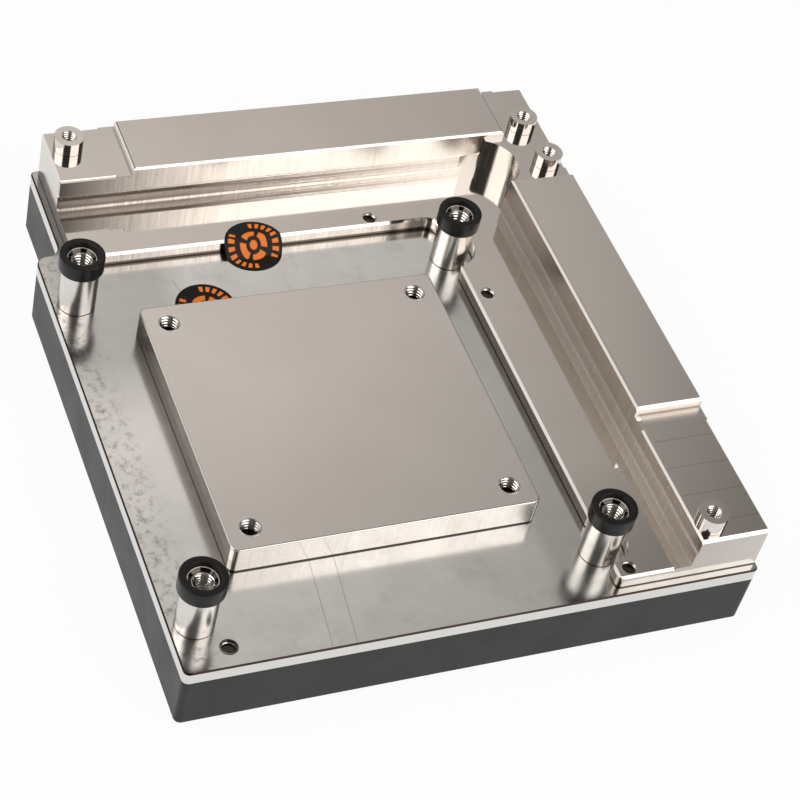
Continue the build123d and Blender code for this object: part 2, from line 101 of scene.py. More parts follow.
# Node helpers
class Nodes:
    """A node tree, with short calls for the nodes that the finishes and the light share."""

    def __init__(self, tree):
        self.nodes = tree.nodes
        self.links = tree.links

    def plug(self, node, index, value):
        if isinstance(value, bpy.types.NodeSocket):
            self.links.new(value, node.inputs[index])
        else:
            node.inputs[index].default_value = value

    def math(self, operation, a, b=0.0, clamp=False):
        node = self.nodes.new("ShaderNodeMath")
        node.operation = operation
        node.use_clamp = clamp
        self.plug(node, 0, a)
        self.plug(node, 1, b)
        return node.outputs[0]

    def chain(self, operation, parts):
        result = parts[0]
        for part in parts[1:]:
            result = self.math(operation, result, part)
        return result

    def times(self, *parts):
        return self.chain("MULTIPLY", parts)

    def plus(self, *parts):
        return self.chain("ADD", parts)

    def most(self, *parts):
        return self.chain("MAXIMUM", parts)

    def rest(self, part):
        """What a mask leaves out."""
        return self.math("SUBTRACT", 1.0, part)

    def vector(self, operation, a, b=(0, 0, 0)):
        node = self.nodes.new("ShaderNodeVectorMath")
        node.operation = operation
        self.plug(node, 0, a)
        self.plug(node, 1, b)
        return node.outputs["Value" if operation in ("DOT_PRODUCT", "LENGTH") else 0]

    def split(self, vector):
        node = self.nodes.new("ShaderNodeSeparateXYZ")
        self.links.new(vector, node.inputs[0])
        return node.outputs

    def between(self, value, low, high, to_low=0.0, to_high=1.0, smooth=False):
        """A value's way from one limit to the other, as a number between two others."""
        node = self.nodes.new("ShaderNodeMapRange")
        node.interpolation_type = "SMOOTHSTEP" if smooth else "LINEAR"
        for index, entry in enumerate((value, low, high, to_low, to_high)):
            self.plug(node, index, entry)
        return node.outputs[0]

    def above(self, value, low, soft=0.05):
        """One over a limit, rising from nought over twice the soft distance about it."""
        return self.between(value, low - soft, low + soft, smooth=True)

    def below(self, value, high, soft=0.05):
        """One under a limit, falling to nought over twice the soft distance about it."""
        return self.between(value, high - soft, high + soft, 1.0, 0.0, smooth=True)

    def band(self, value, low, high, soft=0.05):
        """One between two limits, and nought beyond them."""
        return self.times(self.above(value, low, soft), self.below(value, high, soft))

    def colours(self, value, a, b, blend="MIX"):
        node = self.nodes.new("ShaderNodeMix")
        node.data_type = "RGBA"
        node.blend_type = blend
        self.plug(node, 0, value)
        self.plug(node, 6, (*a, 1) if isinstance(a, tuple) else a)
        self.plug(node, 7, (*b, 1) if isinstance(b, tuple) else b)
        return node.outputs[2]

    def coats(self, tint, *layers):
        """A colour under layers of others, each given with its mask."""
        for mask, colour in layers:
            tint = self.colours(mask, tint, colour)
        return tint

    def steps(self, value, stops):
        """A colour that changes along a value between nought and one."""
        node = self.nodes.new("ShaderNodeValToRGB")
        self.links.new(value, node.inputs[0])
        ramp = node.color_ramp
        ramp.elements[0].position = stops[0][0]
        ramp.elements[1].position = stops[-1][0]
        for position, _ in stops[1:-1]:
            ramp.elements.new(position)
        for element, (_, colour) in zip(ramp.elements, stops):
            element.color = (*colour, 1)
        return node.outputs[0]

    def mix_shaders(self, share, a, b):
        node = self.nodes.new("ShaderNodeMixShader")
        for index, source in enumerate((share, a, b)):
            self.links.new(source, node.inputs[index])
        return node.outputs[0]


class Shader(Nodes):
    """A material, with its places in millimetres and masks for the faces of the object.

    flatness is one on level faces and nought on upright ones, and wall is one on upright faces.
    """

    def __init__(self, name):
        self.material = bpy.data.materials.new(name)
        self.material.use_nodes = True
        super().__init__(self.material.node_tree)
        self.bsdf = self.nodes["Principled BSDF"]
        self.place = self.nodes.new("ShaderNodeTexCoord").outputs["Object"]
        self.normal = self.nodes.new("ShaderNodeNewGeometry").outputs["Normal"]
        self.x, self.y, self.z = (self.times(part, 1 / MM) for part in self.split(self.place))
        self.flatness = self.math("ABSOLUTE", self.split(self.normal)[2])
        self.wall = self.between(self.flatness, 0.3, 0.8, 1.0, 0.0)

    def set(self, **values):
        for name, value in values.items():
            self.plug(self.bsdf, name.replace("_", " ").title().replace("Ior", "IOR"), value)

    def stretched(self, scale):
        node = self.nodes.new("ShaderNodeMapping")
        self.links.new(self.place, node.inputs["Vector"])
        node.inputs["Scale"].default_value = scale
        return node.outputs[0]

    def noise(self, size_mm, detail, rough, where=None, seed=0.0):
        node = self.nodes.new("ShaderNodeTexNoise")
        node.noise_dimensions = "4D"
        node.inputs["W"].default_value = seed
        self.links.new(where or self.place, node.inputs["Vector"])
        node.inputs["Scale"].default_value = 1 / (size_mm * MM)
        node.inputs["Detail"].default_value = detail
        node.inputs["Roughness"].default_value = rough
        return node.outputs["Fac"]

    def faces(self, direction):
        """One on the faces that look along a direction, falling to nought about 70 degrees away."""
        return self.between(self.vector("DOT_PRODUCT", self.normal, direction), 0.3, 0.6)

    def foot(self, height):
        """The lowest part of the walls that stand on the base plate."""
        return self.times(self.wall, self.band(self.z, plate_top - 1, plate_top + height, 0.08))

    def line(self, start, end, width_mm):
        """A fine mark between two points in plan, in millimetres."""
        flat = self.vector("MULTIPLY", self.place, (1 / MM, 1 / MM, 0))
        along = Vector((end[0] - start[0], end[1] - start[1], 0))
        from_start = self.vector("SUBTRACT", flat, (*start, 0))
        share = self.vector("DOT_PRODUCT", from_start, tuple(along / along.length_squared))
        share = self.math("MULTIPLY", share, 1.0, clamp=True)
        node = self.nodes.new("ShaderNodeVectorMath")
        node.operation = "SCALE"
        node.inputs[0].default_value = along
        self.links.new(share, node.inputs["Scale"])
        away = self.vector("LENGTH", self.vector("SUBTRACT", from_start, node.outputs[0]))
        return self.between(away, 0.0, width_mm, 1.0, 0.0, smooth=True)

    def bump(self, height, depth_mm, strength=1.0):
        node = self.nodes.new("ShaderNodeBump")
        node.inputs["Strength"].default_value = strength
        node.inputs["Distance"].default_value = depth_mm * MM
        self.links.new(height, node.inputs["Height"])
        self.links.new(node.outputs[0], self.bsdf.inputs["Normal"])


# Finishes
NICKEL = (0.655, 0.62, 0.585)
NICKEL_DULL = (0.625, 0.59, 0.555)
BRIGHT = (0.885, 0.835, 0.79)
LIGHT = (0.60, 0.55, 0.51)
BROWN = (0.40, 0.33, 0.28)
DEEP_BROWN = (0.30, 0.26, 0.23)
DARK = (0.22, 0.19, 0.17)
# A dark joint line at the foot of walls on the base plate, deepened with painted contact shade
SEAM_AND_SHADE = (0.03, 0.025, 0.02)
UPRIGHT_MARKS = (1, 1, 0.03)
TURNED_RINGS = (0.05, 0.05, 1)


def pad_nickel(name):
    """Satin nickel on the processor pad, with upright milling marks on its sides.

    Its near end and its left side carry painted shade, darker as they are in the photograph.
    """
    s = Shader(name)
    cloud = s.noise(22, 3, 0.6)
    grain = s.noise(0.28, 3, 0.7, seed=2)
    marks = s.noise(0.5, 4, 0.8, s.stretched(UPRIGHT_MARKS), seed=5)
    soil = s.noise(5, 4, 0.7, seed=15)
    left_side = s.times(s.wall, s.faces(LEFTWARDS))
    satin = s.colours(s.between(cloud, 0.35, 0.65), (0.71, 0.675, 0.645), (0.69, 0.655, 0.625))
    # Painted shade: the near end, the sides towards the left, and the left side, darker still towards
    # its far end
    tint = s.coats(
        satin,
        (s.between(s.y, -6, -36, 0.0, 0.16), (0.30, 0.28, 0.265)),
        (s.times(s.wall, s.between(marks, 0.40, 0.80, 0.0, 0.45)), (0.50, 0.44, 0.39)),
        (s.times(s.wall, s.between(soil, 0.50, 0.72, 0.0, 0.5)), (0.55, 0.47, 0.40)),
        (s.times(s.wall, s.between(s.x, -15, -35, 0.0, 0.25)), DEEP_BROWN),
        (s.times(left_side, s.band(s.z, 10, 17.0, 0.5)), (0.42, 0.365, 0.325)),
        (s.times(left_side, s.between(s.y, 4, 14, 0.0, 0.35)), (0.12, 0.10, 0.085)),
        (s.foot(0.38), SEAM_AND_SHADE),
    )
    rough = s.plus(
        s.between(cloud, 0.3, 0.7, 0.13, 0.17), s.times(s.wall, s.between(marks, 0.3, 0.8, 0.0, 0.10))
    )
    s.set(base_color=tint, metallic=1.0, roughness=rough)
    s.bump(s.plus(s.times(grain, 0.3), s.times(marks, s.wall, 0.25)), 0.004)
    return s.material


def far_wall_colours(s, share):
    """Painted bands that stand in for what the far wall mirrors in the photograph.

    They are bold at its left and finer towards the corner.
    """
    bold = s.steps(share, [
        (0.00, (0.80, 0.76, 0.73)), (0.025, (0.70, 0.66, 0.63)), (0.06, (0.20, 0.17, 0.155)),
        (0.12, DARK), (0.15, (0.29, 0.255, 0.235)), (0.24, (0.31, 0.27, 0.25)),
        (0.28, (0.05, 0.043, 0.036)), (0.35, (0.07, 0.057, 0.048)), (0.372, (0.28, 0.25, 0.23)),
        (0.385, (0.80, 0.755, 0.715)), (0.42, (0.86, 0.81, 0.765)), (1.0, BRIGHT),
    ])
    fine = s.steps(share, [
        (0.0, BRIGHT), (0.04, BRIGHT), (0.05, BROWN), (0.062, BROWN), (0.075, LIGHT), (0.148, LIGHT),
        (0.157, DARK), (0.174, DARK), (0.183, LIGHT), (0.196, LIGHT), (0.21, DARK), (0.27, DARK),
        (0.287, LIGHT), (0.353, LIGHT), (0.362, BROWN), (0.377, BROWN), (0.39, BRIGHT), (1.0, BRIGHT),
    ])
    ledge = s.band(s.z, shelf_top + 0.3, ledge_top + 0.05)
    mottle = s.noise(0.55, 4, 0.8, s.stretched((0.35, 1, 1.7)), seed=21)
    bold = s.coats(bold, (s.times(ledge, s.between(mottle, 0.48, 0.66, 0.0, 0.45)), (0.12, 0.10, 0.09)))
    fine = s.coats(
        fine,
        (s.times(ledge, s.between(mottle, 0.48, 0.66, 0.0, 0.75)), DARK),
        (s.between(s.x, 0, 36, 0.0, 0.80), BRIGHT),
    )
    bands = s.colours(s.between(s.x, -22, 2), bold, fine)
    broad = s.noise(2.4, 3, 0.7, s.stretched((1, 1, 0.06)), seed=9)
    over_ledge = s.between(s.z, ledge_top - 0.1, ledge_top + 0.1)
    low_shade = s.between(s.x, -47, -38, 0.55, 1.0)
    high_shade = s.between(s.x, -47, -13, 0.05, 1.0)
    shade = s.times(s.colours(over_ledge, low_shade, high_shade), s.between(broad, 0.3, 0.7, 0.92, 1.08))
    return s.colours(s.math("MINIMUM", shade, 1.0), (0.01, 0.009, 0.008), bands)


def right_wall_colours(s, share):
    """Paler painted bands that stand in for what the right wall mirrors, dimmer towards its ends."""
    bands = s.steps(share, [
        (0.00, (0.92, 0.88, 0.84)), (0.04, (0.84, 0.78, 0.73)), (0.08, (0.74, 0.67, 0.62)),
        (0.33, (0.80, 0.73, 0.67)), (0.37, (0.95, 0.88, 0.83)), (0.39, (0.80, 0.73, 0.68)),
        (0.44, (0.65, 0.575, 0.52)), (1.0, (0.76, 0.68, 0.61)),
    ])
    # Painted shade towards both ends of the wall
    near_end_shade = s.between(s.y, -38, -54, 0.0, 0.45)
    far_end_shade = s.between(s.y, 4, 18, 0.0, 0.12)
    return s.coats(bands, (near_end_shade, DEEP_BROWN), (far_end_shade, DEEP_BROWN))


def near_step_colours(s):
    """Painted bands that stand in for what the face of the right ridge's near step mirrors."""
    return s.steps(s.between(s.z, ridge_low_near, ridge_high), [
        (0.0, (0.50, 0.45, 0.41)), (0.30, (0.62, 0.56, 0.51)), (0.40, (0.85, 0.77, 0.70)),
        (0.55, (0.70, 0.62, 0.56)), (0.65, (0.90, 0.86, 0.82)),
    ])


def block_nickel(name):
    """Bright nickel on the power stage block, with milling marks on the ridge's inner walls.

    The bands are painted reflections, and its lighter and darker places are painted light and shade,
    put where the photograph shows them. They lie still on the object, following neither light nor view.
    """
    s = Shader(name)
    cloud = s.noise(18, 3, 0.6)
    grain = s.noise(0.35, 3, 0.7, seed=2)
    marks = s.noise(0.42, 4, 0.8, s.stretched(UPRIGHT_MARKS), seed=5)
    nearwards = s.faces(NEARWARDS)
    leftwards = s.faces(LEFTWARDS)
    top = s.rest(s.wall)

    # The two walls that face the processor, and the side of the pocket in their corner
    far_face = s.times(
        s.wall, nearwards, s.band(s.y, far_wall - 1, far_wall + 0.15), s.below(s.x, right_wall - 3.6)
    )
    right_face = s.times(s.wall, leftwards, s.band(s.x, right_wall - 1, right_wall + 0.15))
    height = s.plus(s.z, s.between(marks, 0.3, 0.7, -0.10, 0.10))
    share = s.between(height, shelf_top, ridge_high)
    # Dark upright streaks along the milling marks, painted as part of the far wall's reflection bands
    streaks = s.times(far_face, s.between(marks, 0.38, 0.72), s.between(s.x, -34, -6, 0.45, 0.10))
    # The pocket's side is painted dull brown and less metallic, a painted shade in the recess
    pocket = s.times(
        s.wall, s.band(s.x, right_wall - 0.2, 46), s.band(s.y, 26, 40), s.band(s.z, shelf_top, ledge_top)
    )

    # Faces and edges of the steps between the ridge's low and high stretches
    near_face = s.times(
        s.wall, nearwards, s.band(s.y, near_step - 0.3, near_step + 0.15), s.above(s.x, right_wall + 0.2)
    )
    # The left step's face is painted light and less metallic, a painted highlight, with painted shade
    # along its top edge
    left_face = s.times(
        leftwards, s.band(s.x, left_step - 0.6, left_step + 0.6),
        s.band(s.z, ridge_low + 0.03, ridge_high - 0.03, 0.02),
    )
    left_edge_shade = s.times(left_face, s.above(s.z, ridge_high - 0.22, 0.03))
    # A painted shade line under the edge of the ridge's low stretch
    low_edge_shade = s.times(
        nearwards, s.band(s.y, far_wall - 1, far_wall + 1), s.below(s.x, left_step - 0.1),
        s.band(s.z, ridge_low - 0.45, ridge_low - 0.15, 0.03),
    )

    # Sides of the shelf, and the block's near end
    # The shelf's left side is painted dark, a painted shade
    shelf_side_shade = s.times(
        s.wall, leftwards, s.band(s.x, 20.5, 26.2), s.band(s.z, plate_top, shelf_top - 0.4)
    )
    # The shelf's near-facing side under the far wall is painted shade, streaked along the milling marks,
    # with a darker line just above its foot
    far_shelf = s.times(
        s.wall, nearwards, s.band(s.x, -48, 27), s.band(s.y, 25, 40),
        s.band(s.z, plate_top, shelf_top - 0.35, 0.06),
    )
    far_shelf_tone = s.colours(s.between(marks, 0.35, 0.7), (0.66, 0.61, 0.565), (0.46, 0.40, 0.35))
    far_shelf_dark_line = s.times(far_shelf, s.band(s.z, plate_top + 0.25, plate_top + 0.75, 0.08))
    # The block's near end is painted darker, deeper towards the left, a painted shade
    near_end_shade = s.times(
        s.wall, nearwards, s.below(s.y, block_low.y + 0.55), s.between(s.x, 54, 40, 0.25, 0.45)
    )

    # Tops of the right ridge, with the foot of its step, and the near part of the shelf
    ridge_top = s.times(top, s.above(s.x, right_wall + 0.9))
    # A warm, less metallic strip at the foot of the near step, a painted reflection of the step's face
    step_foot = s.times(ridge_top, s.band(s.y, near_step - 0.22, near_step + 0.05, 0.15))
    step_shade = s.times(ridge_top, s.band(s.y, near_step - 2.6, near_step - 0.02, 0.3))
    # The right ridge's top beyond its near step is painted lighter, a painted pool of light
    right_top_light = s.times(ridge_top, s.band(s.y, near_step, 33))
    # The shelf's top is painted darker towards the block's near end, a painted shade
    near_shelf_shade = s.times(top, s.below(s.z, shelf_top + 0.2), s.between(s.y, -32, -52, 0.0, 0.32))
    cutter_passes = (-35.6, -42.0, -48.4, -54.9)
    cutter_marks = [s.times(ridge_top, s.band(s.y, y - 0.06, y + 0.06, 0.1)) for y in cutter_passes]

    tint = s.coats(
        s.colours(s.between(cloud, 0.35, 0.65), NICKEL, NICKEL_DULL),
        (far_face, far_wall_colours(s, share)),
        (right_face, right_wall_colours(s, share)),
        (streaks, (0.16, 0.13, 0.11)),
        (near_face, near_step_colours(s)),
        (left_face, (0.86, 0.81, 0.77)),
        (left_edge_shade, (0.16, 0.135, 0.12)),
        (shelf_side_shade, (0.34, 0.295, 0.26)),
        (far_shelf, far_shelf_tone),
        (far_shelf_dark_line, (0.16, 0.125, 0.10)),
        (low_edge_shade, (0.30, 0.27, 0.25)),
        (near_end_shade, (0.36, 0.31, 0.275)),
        (step_foot, (0.62, 0.545, 0.49)),
        (right_top_light, (0.70, 0.665, 0.63)),
        (near_shelf_shade, (0.22, 0.20, 0.185)),
        *((mark, (0.40, 0.365, 0.335)) for mark in cutter_marks),
        (s.foot(0.3), SEAM_AND_SHADE),
        (pocket, (0.30, 0.25, 0.215)),
    )
    rough = s.plus(
        s.between(cloud, 0.3, 0.7, 0.05, 0.08),
        s.times(s.wall, s.between(marks, 0.3, 0.8, 0.04, 0.16)),
        s.times(s.most(far_face, right_face), 0.08),
        s.times(step_shade, 0.30),
    )
    dull = s.most(s.times(pocket, 0.65), s.times(left_face, 0.9), step_foot)
    s.set(base_color=tint, metallic=s.rest(dull), roughness=rough)
    s.bump(s.plus(s.times(grain, 0.12), s.times(marks, s.wall)), 0.004)
    return s.material


def stainless(name):
    """Rolled steel with a mottled face, scratches, and a bright cut edge under a dark rim.

    Its light middle is a painted pool of light, and the darker places beside the pad and the dark rim
    are painted shade, as in the photograph.
    """
    s = Shader(name)
    patches = s.noise(16, 4, 0.6)
    stains = s.noise(7, 5, 0.65, seed=4)
    grain = s.noise(0.5, 3, 0.7, s.stretched((0.25, 1, 1)), seed=1)
    specks = s.noise(1.6, 4, 0.72, seed=12)
    # Painted shade on the plate beside the pad, on its left and on its right
    painted_shade_left_of_pad = s.times(s.between(s.y, -6, 10), s.band(s.x, -54, -30, 4), 0.7)
    painted_shade_right_of_pad = s.times(s.band(s.x, 16, 27, 2), s.band(s.y, -60, 20, 3), 0.7)
    # Dark specks on the plate's strip left of the block
    specks_left_of_block = s.times(s.between(specks, 0.50, 0.68), s.band(s.x, -55, -48.5, 2.5), 0.75)
    scratch_ends = (
        ((-25.4, -34.0), (-28.0, -60.0)), ((-21.4, -39.5), (-23.6, -60.0)), ((-30, 27), (-28.6, 19)),
    )
    scratches = [s.times(s.line(start, end, 0.24), 0.30) for start, end in scratch_ends]
    # The rim along the plate's top edge is painted near black, a painted shade
    rim = s.times(s.between(s.flatness, 0.90, 0.97, 1.0, 0.0), s.above(s.z, plate_top - 0.34, 0.04))
    # The band across the middle is a painted pool of light
    tint = s.coats(
        s.colours(s.between(patches, 0.35, 0.65), (0.68, 0.68, 0.665), (0.77, 0.77, 0.755)),
        (s.between(stains, 0.54, 0.72, 0.0, 0.45), (0.56, 0.555, 0.545)),
        (s.times(s.band(s.y, -22, 2, 12), 0.6), (0.92, 0.92, 0.905)),
        (painted_shade_left_of_pad, (0.48, 0.475, 0.465)),
        (painted_shade_right_of_pad, (0.52, 0.53, 0.52)),
        (specks_left_of_block, (0.20, 0.18, 0.16)),
        *((scratch, (0.16, 0.13, 0.11)) for scratch in scratches),
        (s.wall, (0.70, 0.685, 0.665)),
        (rim, (0.032, 0.023, 0.018)),
    )
    rough = s.plus(s.between(stains, 0.3, 0.7, 0.14, 0.22), s.times(s.wall, 0.1))
    s.set(base_color=tint, metallic=1.0, roughness=rough)
    s.bump(grain, 0.006, 0.6)
    return s.material


def plastic(name, colour, roughness, grain_mm=0.3, shine=0.5):
    """Moulded or milled plastic with a fine grain."""
    s = Shader(name)
    grain = s.noise(grain_mm, 3, 0.6)
    cloud = s.noise(9, 3, 0.6, seed=3)
    shaded = tuple(0.8 * part for part in colour)
    s.set(
        base_color=s.colours(s.between(cloud, 0.35, 0.65), colour, shaded),
        roughness=s.between(cloud, 0.3, 0.7, roughness - 0.04, roughness + 0.05),
        specular_ior_level=shine,
    )
    s.bump(grain, 0.004, 0.5)
    return s.material


def turned(name, colour, roughness):
    """Metal with the fine rings that turning leaves."""
    s = Shader(name)
    rings = s.noise(0.25, 3, 0.7, s.stretched(TURNED_RINGS), seed=8)
    cloud = s.noise(3, 3, 0.6)
    shaded = tuple(0.92 * part for part in colour)
    s.set(
        base_color=s.colours(s.between(cloud, 0.3, 0.7), colour, shaded),
        metallic=1.0,
        roughness=s.between(cloud, 0.3, 0.7, roughness, roughness + 0.05),
    )
    s.bump(rings, 0.001, 0.4)
    return s.material


def bright_standoff(name):
    """Polished nickel on the standoffs, with a dark joint line and painted contact shade round the foot,
    and painted shade in the mouth.
    """
    s = Shader(name)
    cloud = s.noise(3, 3, 0.6)
    rings = s.noise(0.25, 3, 0.7, s.stretched(TURNED_RINGS), seed=8)

    # The line where a standoff stands on the ridge or on the base plate, a dark joint with painted
    # contact shade
    low, high = box_mm("power_standoff_near_right")
    on_near_stretch = s.times(s.band(s.x, low.x - 1, high.x + 1), s.band(s.y, low.y - 1, high.y + 1))
    seat = s.math("SUBTRACT", ridge_low, s.times(on_near_stretch, ridge_low - ridge_low_near))
    ridge_line = s.band(s.math("SUBTRACT", s.z, seat), -0.05, 0.07, 0.02)
    plate_line = s.band(s.z, plate_top - 0.2, plate_top + 0.16, 0.03)
    shaft = s.band(s.z, plate_top + 0.35, ridge_low - 0.65)
    foot = s.times(s.wall, s.rest(shaft), s.most(ridge_line, plate_line))

    # The grooved mouth of the tall standoffs, painted dark as painted shade in the bore, and the light
    # lip round it
    groove_pitch = 0.19
    grooves = s.between(s.math("SINE", s.times(s.z, 2 * math.pi / groove_pitch)), -0.3, 0.3)
    leaning = s.rest(s.band(s.wall, 0.9, 1.1, 0.02))
    tall_standoffs = s.band(s.x, -53, 29, 0.5)
    mouth = s.times(
        s.band(s.z, standoff_top - 0.57, standoff_top - 0.03, 0.01),
        leaning, tall_standoffs, s.between(grooves, 0, 1, 0.93, 1.0),
    )
    lip = s.times(s.band(s.z, standoff_top - 0.03, standoff_top + 0.05, 0.01), s.rest(s.wall))

    tint = s.coats(
        s.colours(s.between(cloud, 0.3, 0.7), (0.72, 0.685, 0.65), NICKEL),
        (foot, (0.16, 0.11, 0.08)),
        (mouth, (0.05, 0.04, 0.032)),
    )
    low_part = s.below(s.z, ridge_low - 0.55, 0.1)
    rough = s.between(s.plus(cloud, low_part), 0.3, 1.7, 0.09, 0.27)
    s.set(base_color=tint, metallic=s.between(lip, 0, 1, 1.0, 0.2), roughness=rough)
    s.bump(rings, 0.001, 0.4)
    return s.material


def sticker_print(name):
    """Black film, printed in orange with a broken ring, a spot and a circle of dashes."""
    s = Shader(name)
    radius = 5.8
    prints = []
    for node in ("round_sticker_draped", "round_sticker_curled"):
        low, high = box_mm(node)
        curled = node.endswith("curled")
        centre_x = (low.x + high.x) / 2
        centre_y = high.y - radius if curled else (low.y + high.y) / 2
        reach_y = radius if curled else (high.y - low.y) / 2
        across = s.math("DIVIDE", s.math("SUBTRACT", s.x, centre_x), radius)
        along = s.math("DIVIDE", s.math("SUBTRACT", s.y, centre_y), reach_y)
        out = s.math("SQRT", s.plus(s.times(across, across), s.times(along, along)))
        angle = s.math("ARCTAN2", along, across)
        dashes = s.between(s.math("SINE", s.times(angle, 22)), -0.35, 0.0)
        arcs = s.between(s.math("SINE", s.plus(s.times(angle, 2), 0.6)), -0.75, -0.65)
        rim = s.times(s.band(out, 0.66, 0.88, 0.02), dashes, arcs)
        gaps = s.between(s.math("SINE", s.times(angle, 4)), -0.85, -0.65)
        ring = s.times(s.band(out, 0.26, 0.47, 0.02), gaps)
        spot = s.below(out, 0.13, 0.02)
        prints.append(s.times(s.most(rim, ring, spot), s.below(out, 1.02, 0.01)))
    scuffs = s.noise(0.6, 3, 0.7, seed=6)
    s.set(
        base_color=s.colours(s.most(*prints), (0.006, 0.0055, 0.005), (1.0, 0.25, 0.03)),
        roughness=s.between(scuffs, 0.3, 0.7, 0.28, 0.38),
        specular_ior_level=0.18,
    )
    s.bump(scuffs, 0.002, 0.4)
    return s.material


finishes = {
    "cover_plastic": plastic("cover_black_plastic", (0.0165, 0.0158, 0.015), 0.45, shine=0.35),
    "base_steel": stainless("plate_stainless"),
    "nickel_pad": pad_nickel("pad_nickel"),
    "nickel_block": block_nickel("block_nickel"),
    "jet_steel": turned("jet_plate_steel", (0.60, 0.60, 0.59), 0.3),
    "gasket_rubber": plastic("gasket_black_rubber", (0.02, 0.02, 0.02), 0.6),
    "standoff_nickel": bright_standoff("standoff_bright_nickel"),
    "washer_plastic": plastic("washer_black_plastic", (0.008, 0.0075, 0.007), 0.36, 0.15, shine=0.3),
    "black_screws": turned("screw_black_oxide", (0.07, 0.062, 0.055), 0.22),
    "thread": turned("thread_nickel", (0.80, 0.765, 0.73), 0.06),
    "sticker_film": sticker_print("sticker_print"),
}
slot_of = {row["node"]: row["material_slot"] for row in frame["record"]["subparts"]}
for name, node in frame["nodes"].items():
    node.data.materials.clear()
    node.data.materials.append(finishes[slot_of[name]])


# Added pieces
def add_piece(name, points, faces, slot, finish=None):
    """A closed mesh in millimetres, with the finish of one of the record's slots or one near it."""
    mesh = bpy.data.meshes.new(name)
    mesh.from_pydata([Vector(point) * MM for point in points], [], faces)
    mesh.polygons.foreach_set("use_smooth", [True] * len(mesh.polygons))
    mesh.materials.append(finishes[finish or slot])
    piece = bpy.data.objects.new(name, mesh)
    bpy.context.scene.collection.objects.link(piece)
    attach(piece, "root")
    return piece


def ring_grid(x, y, rows, around):
    """Points and faces of a closed ring, from its section's points, each with a radius at any angle."""
    points = []
    for radius_at, level in rows:
        for step in range(around):
            turn = 2 * math.pi * step / around
            radius = radius_at(turn)
            points.append((x + radius * math.cos(turn), y + radius * math.sin(turn), level))
    faces = []
    for row in range(len(rows)):
        below = row * around
        above = (row + 1) % len(rows) * around
        for step in range(around):
            after = (step + 1) % around
            faces.append((below + step, below + after, above + after, above + step))
    return points, faces


# A thread's outer diameter and its pitch, in millimetres
M4 = (4.0, 0.7)
M3 = (3.0, 0.5)


def add_thread(name, x, y, low, high, thread, slot):
    """The thread's turns in a tapped hole: a sleeve whose inner face is a helix."""
    diameter, pitch = thread
    around = 40
    per_turn = 8
    root = diameter / 2 - 0.05
    crest = diameter / 2 - 0.54 * pitch
    back = diameter / 2 - 0.01

    def flank(level):
        def radius(turn):
            phase = (level / pitch - turn / (2 * math.pi)) % 1
            ridge = 1 - min(1, abs(phase - 0.5) / 0.42)
            return root + (crest - root) * ridge
        return radius

    count = round((high - low) / pitch * per_turn)
    levels = [low + (high - low) * i / count for i in range(count + 1)]
    rows = [(flank(level), level) for level in reversed(levels)]
    rows += [(lambda turn: back, low), (lambda turn: back, high)]
    points, faces = ring_grid(x, y, rows, around)
    add_piece(name, points, faces, slot, "thread" if slot == "standoff_nickel" else None)


def add_washer(name, node):
    """A washer like the solid, with its edges rounded a little."""
    low, high = box_mm(node)
    x, y = (low.x + high.x) / 2, (low.y + high.y) / 2
    outer = (high.x - low.x) / 2
    inner = 2.85
    around = 96
    per_corner = 5
    section = []
    for corner_r, corner_z, inwards, down, size, start in (
        (outer, low.z, -1, 1, 0.12, 270), (outer, high.z, -1, -1, 0.28, 0),
        (inner, high.z, 1, -1, 0.18, 90), (inner, low.z, 1, 1, 0.10, 180),
    ):
        for step in range(per_corner + 1):
            turn = math.radians(start + 90 * step / per_corner)
            section.append((
                corner_r + inwards * size + size * math.cos(turn),
                corner_z + down * size + size * math.sin(turn),
            ))
    rows = [((lambda turn, r=r: r), z) for r, z in section]
    points, faces = ring_grid(x, y, rows, around)
    piece = add_piece(name, points, faces, "washer_plastic")
    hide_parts(node)


for corner in ("far_left", "far_right", "near_right", "near_left"):
    add_washer(f"rounded_washer_{corner}", f"insulating_washer_{corner}")
for mount in frame["record"]["mounts"]:
    if "standoff_thread" in mount["name"]:
        place = Vector(mount["pos_m"]) / MM
        reach = mount["dims"]["length_mm"] / 2 - 0.02
        thread = M4 if 2 * mount["dims"]["r_mm"] == M4[0] else M3
        add_thread(
            mount["name"].replace("standoff_thread", "thread"), place.x, place.y,
            place.z - reach, place.z + reach, thread, "standoff_nickel",
        )
pad_hole_inset = 4.55
pad_turns = (pad_high.z - 2.58, pad_high.z - 0.03)
for i, x in enumerate((pad_low.x + pad_hole_inset, pad_high.x - pad_hole_inset)):
    for j, y in enumerate((pad_low.y + pad_hole_inset, pad_high.y - pad_hole_inset)):
        add_thread(f"pad_thread_{i}{j}", x, y, *pad_turns, M4, "nickel_pad")
shelf_holes = ((12.3, 35.05), (28.4, 11.35), (28.3, -56.95))
shelf_turns = (shelf_top - 0.78, shelf_top - 0.02)
for i, (x, y) in enumerate(shelf_holes):
    add_thread(f"shelf_thread_{i}", x, y, *shelf_turns, M3, "nickel_block")
plate_hole = (-45.2, -56.55)
plate_turns = (plate_top - 0.78, plate_top - 0.02)
add_thread("plate_thread", *plate_hole, *plate_turns, M3, "base_steel")


